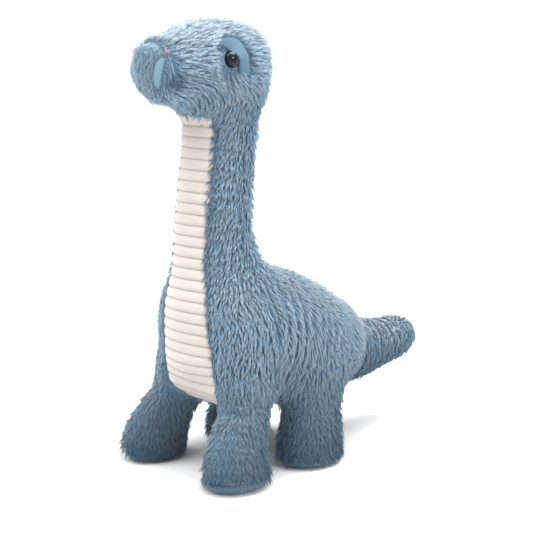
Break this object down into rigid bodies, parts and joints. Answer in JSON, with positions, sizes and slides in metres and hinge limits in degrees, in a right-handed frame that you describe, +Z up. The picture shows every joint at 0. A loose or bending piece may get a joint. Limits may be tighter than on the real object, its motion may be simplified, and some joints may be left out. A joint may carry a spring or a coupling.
{
  "type": "stuffed long-necked dinosaur",
  "caption": "Sewn plush long-necked dinosaur with a ribbed cream bib, glossy safety eyes, padded eyelids, a stubby tail and soft sprung neck, head, tail and legs.",
  "frame": {"origin": "on the ground, at the middle of the toy's footprint box", "axes": "+Z up, -Y the way the toy faces, +X its left side"},
  "size_m": [0.164, 0.3284, 0.3898],
  "materials": {
    "blue_plush": "matte",
    "cream_cord": "matte",
    "fibre_filling": "matte",
    "black_eye": "gloss",
    "washer_nylon": "satin",
    "eyelid_suede": "matte",
    "rose_thread": "matte"
  },
  "bodies": {
    "torso": {"flank_panel_left": "blue_plush", "flank_panel_right": "blue_plush", "chest_panel_lower": "cream_cord", "belly_gusset": "blue_plush", "torso_filling": "fibre_filling"},
    "neck": {"neck_panel_left": "blue_plush", "neck_panel_right": "blue_plush", "throat_panel": "cream_cord", "neck_filling": "fibre_filling"},
    "head": {"head_panel_left": "blue_plush", "head_panel_right": "blue_plush", "crown_gusset": "blue_plush", "chin_panel": "blue_plush", "head_filling": "fibre_filling", "eye_left": "black_eye", "eye_washer_left": "washer_nylon", "eyelid_left": "eyelid_suede", "nostril_left": "rose_thread", "eye_right": "black_eye", "eye_washer_right": "washer_nylon", "eyelid_right": "eyelid_suede", "nostril_right": "rose_thread"},
    "tail": {"tail_panel_left": "blue_plush", "tail_panel_right": "blue_plush", "tail_filling": "fibre_filling"},
    "front_left_leg": {"front_left_leg_outer_panel": "blue_plush", "front_left_leg_inner_panel": "blue_plush", "front_left_foot_sole": "blue_plush", "front_left_leg_filling": "fibre_filling"},
    "front_right_leg": {"front_right_leg_outer_panel": "blue_plush", "front_right_leg_inner_panel": "blue_plush", "front_right_foot_sole": "blue_plush", "front_right_leg_filling": "fibre_filling"},
    "hind_left_leg": {"hind_left_leg_outer_panel": "blue_plush", "hind_left_leg_inner_panel": "blue_plush", "hind_left_foot_sole": "blue_plush", "hind_left_leg_filling": "fibre_filling"},
    "hind_right_leg": {"hind_right_leg_outer_panel": "blue_plush", "hind_right_leg_inner_panel": "blue_plush", "hind_right_foot_sole": "blue_plush", "hind_right_leg_filling": "fibre_filling"}
  },
  "joints": [
    {"name": "neck_bend", "type": "hinge", "parent": "torso", "child": "neck", "pos_m": [0, -0.087, 0.18], "axis": [1, 0, 0], "range_deg": [-15, 15], "stiffness_Nm_per_rad": 1.2},
    {"name": "head_nod", "type": "hinge", "parent": "neck", "child": "head", "pos_m": [0, -0.078, 0.322], "axis": [1, 0, 0], "range_deg": [-15, 15], "stiffness_Nm_per_rad": 0.8},
    {"name": "tail_wag", "type": "hinge", "parent": "torso", "child": "tail", "pos_m": [0, 0.053, 0.0835], "axis": [0, 0, 1], "range_deg": [-20, 20], "stiffness_Nm_per_rad": 0.6},
    {"name": "front_left_leg_swing", "type": "hinge", "parent": "torso", "child": "front_left_leg", "pos_m": [0.042, -0.09, 0.075], "axis": [1, 0, 0], "range_deg": [-15, 8], "stiffness_Nm_per_rad": 1.5},
    {"name": "front_right_leg_swing", "type": "hinge", "parent": "torso", "child": "front_right_leg", "pos_m": [-0.042, -0.09, 0.075], "axis": [1, 0, 0], "range_deg": [-15, 8], "stiffness_Nm_per_rad": 1.5},
    {"name": "hind_left_leg_swing", "type": "hinge", "parent": "torso", "child": "hind_left_leg", "pos_m": [0.041, -0.012, 0.077], "axis": [1, 0, 0], "range_deg": [-8, 15], "stiffness_Nm_per_rad": 1.5},
    {"name": "hind_right_leg_swing", "type": "hinge", "parent": "torso", "child": "hind_right_leg", "pos_m": [-0.041, -0.012, 0.077], "axis": [1, 0, 0], "range_deg": [-8, 15], "stiffness_Nm_per_rad": 1.5}
  ]
}
